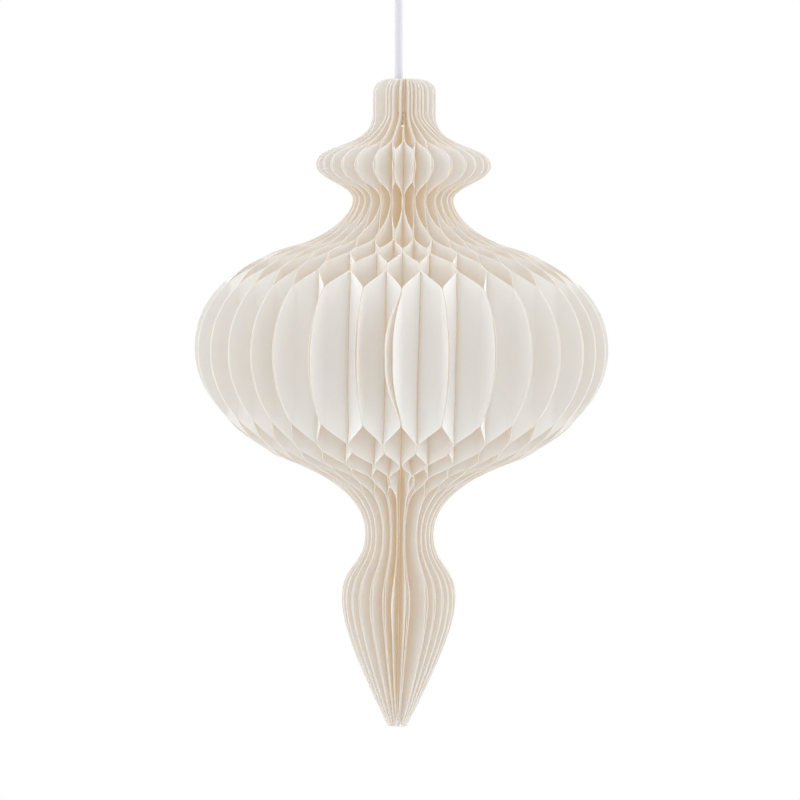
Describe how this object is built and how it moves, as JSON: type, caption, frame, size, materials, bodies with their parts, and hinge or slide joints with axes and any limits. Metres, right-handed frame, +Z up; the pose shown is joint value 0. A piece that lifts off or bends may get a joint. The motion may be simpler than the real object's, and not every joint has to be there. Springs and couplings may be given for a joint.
{
  "type": "pleated paper hanging decoration",
  "caption": "Finial-shaped honeycomb of folded and glued card leaves, hung on a cord with a loop, as a decoration or shade.",
  "frame": {"origin": "bottom end of the leaves on their shared axis", "axes": "+Z up along the leaves' axis to the neck and cord; -Y to the front seam, where the first and last leaf meet"},
  "size_m": [0.2984, 0.2997, 0.5947],
  "materials": {
    "card": "matt off-white card",
    "cord": "smooth pale cord",
    "stop_disc": "plain moulded disc"
  },
  "bodies": {
    "root": {"leaf_01": "card", "leaf_02": "card", "leaf_03": "card", "leaf_04": "card", "leaf_05": "card", "leaf_06": "card", "leaf_07": "card", "leaf_08": "card", "leaf_09": "card", "leaf_10": "card", "leaf_11": "card", "leaf_12": "card", "leaf_13": "card", "leaf_14": "card", "leaf_15": "card", "leaf_16": "card", "leaf_17": "card", "leaf_18": "card", "leaf_19": "card", "leaf_20": "card", "leaf_21": "card", "leaf_22": "card", "leaf_23": "card", "leaf_24": "card", "leaf_25": "card", "leaf_26": "card", "leaf_27": "card", "leaf_28": "card", "leaf_29": "card", "leaf_30": "card", "leaf_31": "card", "leaf_32": "card", "leaf_33": "card", "leaf_34": "card", "leaf_35": "card", "leaf_36": "card", "leaf_37": "card", "leaf_38": "card", "leaf_39": "card", "leaf_40": "card", "leaf_41": "card", "leaf_42": "card", "leaf_43": "card", "leaf_44": "card", "leaf_45": "card", "leaf_46": "card", "leaf_47": "card", "leaf_48": "card", "leaf_49": "card", "leaf_50": "card", "leaf_51": "card", "leaf_52": "card", "leaf_53": "card", "leaf_54": "card", "leaf_55": "card", "leaf_56": "card", "cord": "cord", "loop_knot": "cord", "stop_knot": "cord", "stopper_disc": "stop_disc"}
  },
  "joints": []
}
